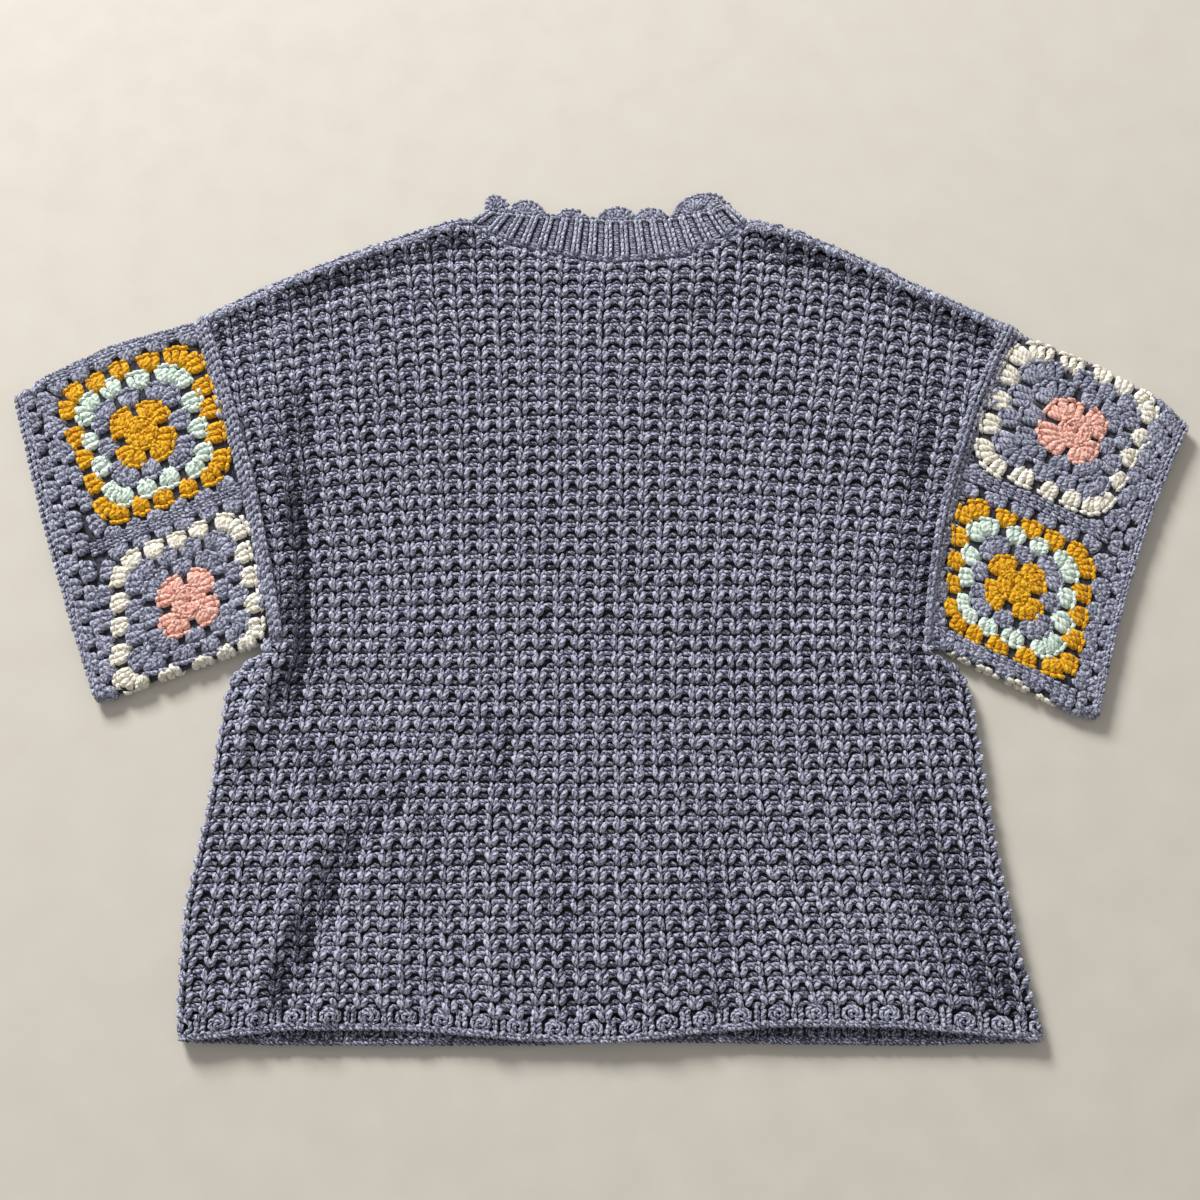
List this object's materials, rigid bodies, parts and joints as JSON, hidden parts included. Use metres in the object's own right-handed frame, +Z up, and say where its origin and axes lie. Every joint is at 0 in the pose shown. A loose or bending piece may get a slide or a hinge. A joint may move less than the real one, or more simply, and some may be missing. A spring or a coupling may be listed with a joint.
{
  "type": "granny square sweater",
  "caption": "Chunky waffle-rib pullover laid flat, with short sleeves of crocheted granny squares and a ribbed collar edged with shells.",
  "frame": {"origin": "on the surface it lies on, under the middle of the garment's footprint", "axes": "+X across the garment from cuff to cuff, +Y from the hem to the neck, +Z up from the surface"},
  "size_m": [0.872, 0.631, 0.0152],
  "materials": {
    "slate_knit": "matte heathered cotton yarn, chunky waffle rib",
    "slate_rib": "matte heathered cotton yarn, rib",
    "slate_crochet": "matte heathered cotton yarn, crochet",
    "mustard_square": "matte cotton yarn, granny square with a mustard centre, a mint round and a mustard round",
    "pink_square": "matte cotton yarn, granny square with a pink centre and an off-white round"
  },
  "bodies": {
    "root": {"back_panel": "slate_knit", "front_panel": "slate_knit", "back_hem_rib": "slate_rib", "front_hem_rib": "slate_rib", "collar_rib": "slate_rib", "neck_scallops": "slate_crochet", "left_armhole_edging": "slate_crochet", "right_armhole_edging": "slate_crochet", "left_cuff_edging": "slate_crochet", "right_cuff_edging": "slate_crochet", "left_square_top_upper": "mustard_square", "left_square_top_lower": "pink_square", "left_square_under_lower": "mustard_square", "left_square_under_upper": "pink_square", "right_square_top_upper": "pink_square", "right_square_top_lower": "mustard_square", "right_square_under_lower": "pink_square", "right_square_under_upper": "mustard_square"}
  },
  "joints": []
}
